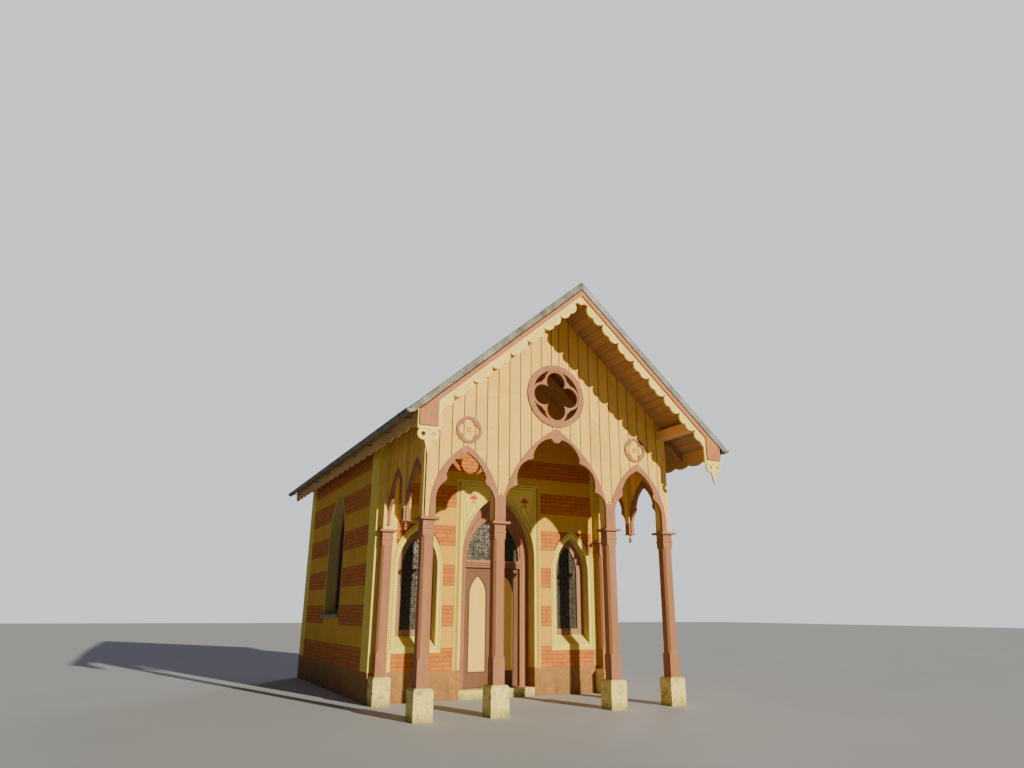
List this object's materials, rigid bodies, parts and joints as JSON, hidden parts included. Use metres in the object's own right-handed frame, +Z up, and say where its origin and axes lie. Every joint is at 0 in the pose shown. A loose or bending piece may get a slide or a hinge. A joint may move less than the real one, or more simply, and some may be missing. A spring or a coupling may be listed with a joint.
{
  "type": "small chapel with open porch",
  "caption": "Small gabled chapel with painted brick banding, pointed windows and an open timber porch with cusped arches, a quatrefoil and scalloped bargeboards.",
  "frame": {"origin": "ground level at the centre of the roof plan", "axes": "+Z up, the porch and doorway face -Y, +X to the right seen from the front"},
  "size_m": [5.8982, 8.766, 6.7039],
  "materials": {
    "walls": "painted lime render with bands of painted brick",
    "stone": "weathered pale stone",
    "mauve_timber": "weathered mauve-brown paint on timber",
    "yellow_boards": "weathered pale yellow paint on boards",
    "salmon_boards": "weathered salmon paint on boards",
    "cream_boards": "weathered cream paint on boards",
    "roof_timber": "stained softwood",
    "door_paint": "matt paint on timber",
    "window_paint": "matt paint on timber",
    "leaded_glass": "old leaded glass",
    "roof_tiles": "dark clay tiles",
    "zinc": "dull zinc",
    "iron": "black iron"
  },
  "bodies": {
    "chapel": {"front_wall_left": "walls", "front_wall_right": "walls", "front_wall_gable": "walls", "left_wall": "walls", "right_wall": "walls", "rear_wall": "walls", "pedestals": "stone", "side_sills": "stone", "door_threshold": "stone", "floor_slab": "stone", "front_posts": "mauve_timber", "rear_posts": "mauve_timber", "arch_casing_centre": "mauve_timber", "arch_casings_side": "mauve_timber", "roundel_centre": "mauve_timber", "roundels_small": "mauve_timber", "side_casings": "mauve_timber", "side_pendants": "mauve_timber", "door_frame": "mauve_timber", "gable_boarding": "yellow_boards", "side_boarding": "yellow_boards", "verge_board_left": "salmon_boards", "verge_board_right": "salmon_boards", "bargeboard_left": "cream_boards", "bargeboard_right": "cream_boards", "eaves_fascias": "cream_boards", "rear_bargeboards": "cream_boards", "eaves_plates": "roof_timber", "ridge_beam": "roof_timber", "rafters": "roof_timber", "roof_deck": "roof_timber", "front_window_frames": "window_paint", "side_window_frames": "window_paint", "front_window_glass": "leaded_glass", "side_window_glass": "leaded_glass", "tympanum_glass": "leaded_glass", "roof_covering": "roof_tiles", "ridge_cap": "zinc", "verge_flashing": "zinc", "gutters": "zinc", "gutter_brackets": "zinc", "door_hinges": "iron"},
    "door_left": {"door_leaf_left": "door_paint"},
    "door_right": {"door_leaf_right": "door_paint"}
  },
  "joints": [
    {"name": "door_left_hinge", "type": "hinge", "parent": "chapel", "child": "door_left", "pos_m": [-0.5625, -0.946, 0.42], "axis": [0, 0, 1], "range_deg": [0, 90]},
    {"name": "door_right_hinge", "type": "hinge", "parent": "chapel", "child": "door_right", "pos_m": [0.5625, -0.946, 0.42], "axis": [0, 0, -1], "range_deg": [0, 90]}
  ]
}
